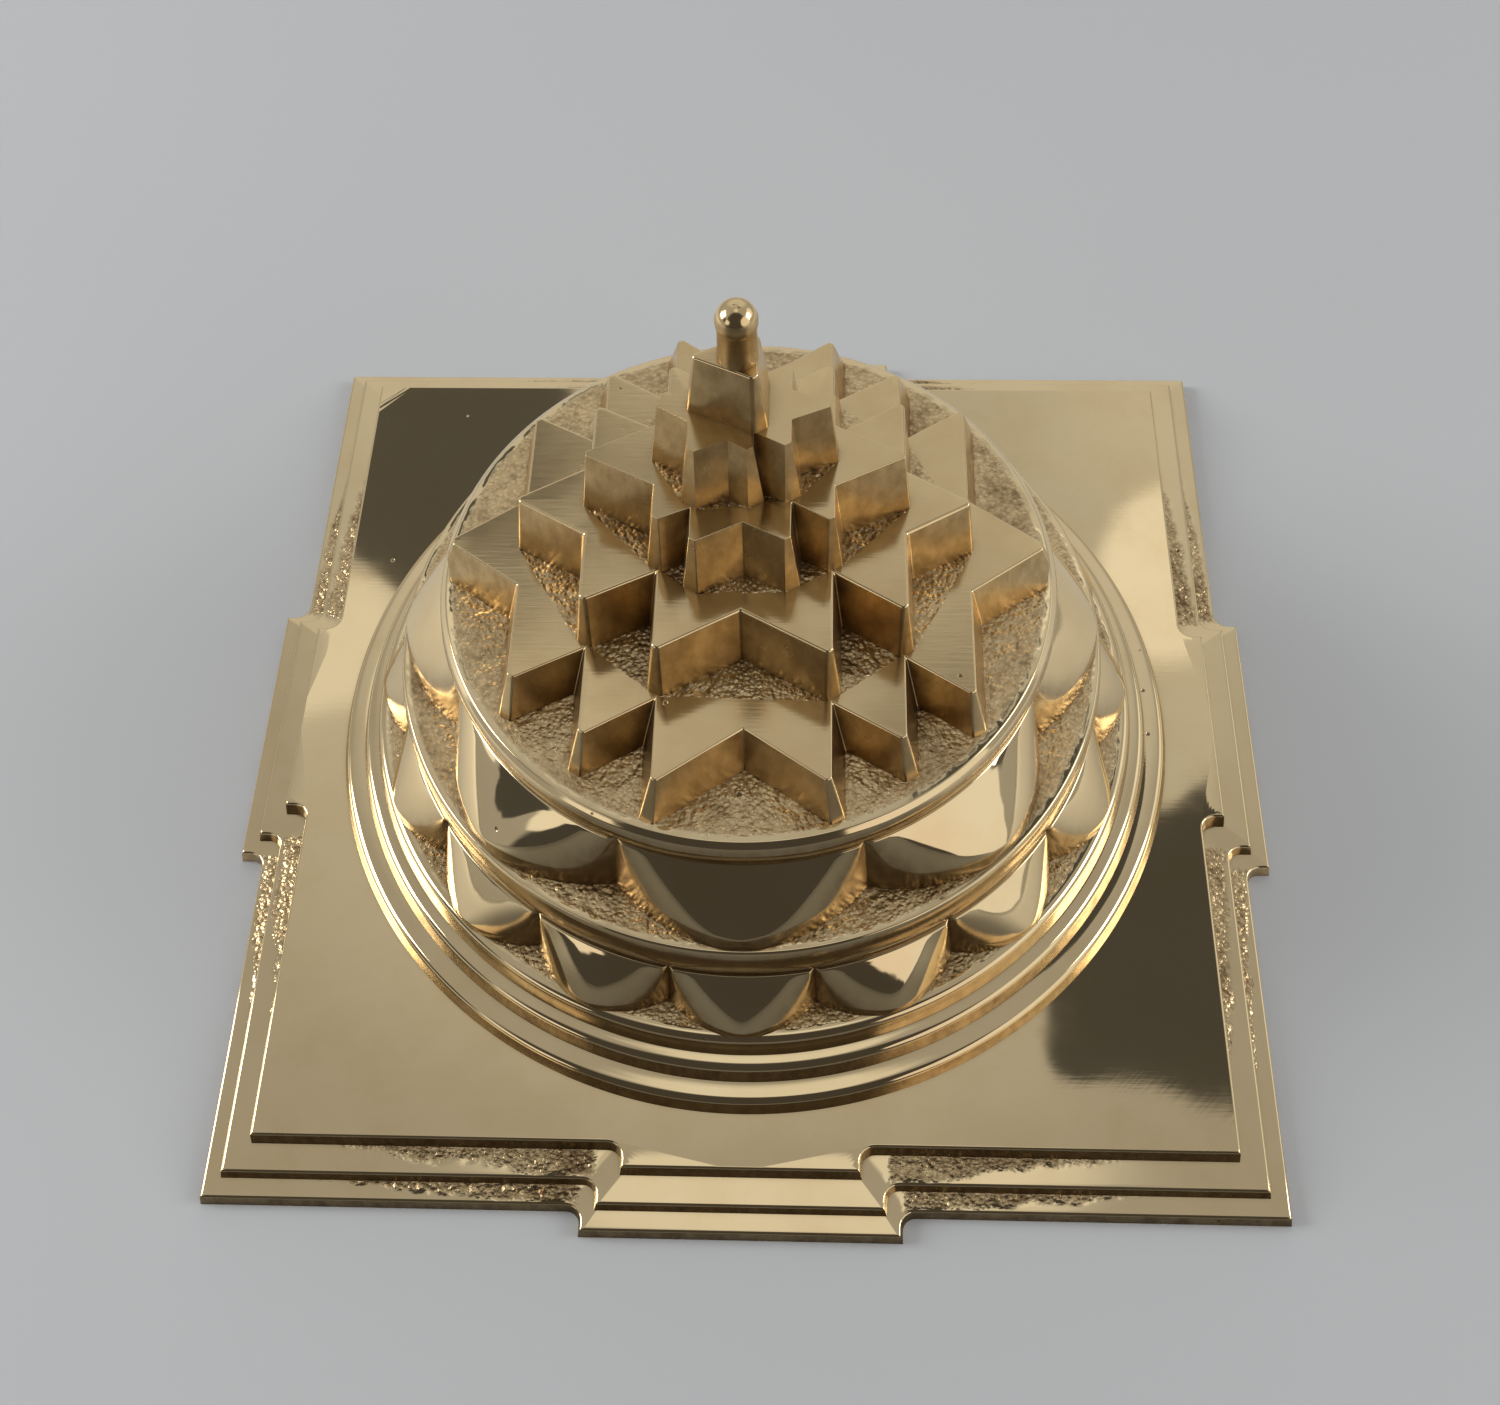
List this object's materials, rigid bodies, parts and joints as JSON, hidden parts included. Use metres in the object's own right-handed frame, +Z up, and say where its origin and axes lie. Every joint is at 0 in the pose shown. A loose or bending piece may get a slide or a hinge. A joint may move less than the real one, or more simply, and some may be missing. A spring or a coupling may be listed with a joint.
{
  "type": "meru shri yantra",
  "caption": "Brass meru shri yantra: stepped star tiers rise over lotus drums and rings on a square base with gates, crowned by a bindu finial.",
  "frame": {"origin": "middle of the underside, on the surface the base rests on", "axes": "+Z up along the stack of tiers; +X along the yantra's own upward direction; -Y is the side that faces the camera"},
  "size_m": [0.1046, 0.1046, 0.0655],
  "materials": {
    "polished_brass": "polished cast brass with fine brush marks",
    "cast_brass": "sand-cast ground with polished walls",
    "bar_brass": "plain drawn brass bar"
  },
  "bodies": {
    "root": {"bhupura_low": "polished_brass", "bhupura_mid": "polished_brass", "bhupura_top": "polished_brass", "ring_low": "polished_brass", "ring_mid": "polished_brass", "ring_top": "cast_brass", "lotus_sixteen": "polished_brass", "rim_low": "cast_brass", "lotus_eight": "polished_brass", "rim_high": "cast_brass", "star_fourteen": "polished_brass", "star_ten_outer": "polished_brass", "star_ten_inner": "polished_brass", "star_eight": "polished_brass", "triangle": "polished_brass", "bindu": "polished_brass", "tie_bar": "bar_brass"}
  },
  "joints": []
}
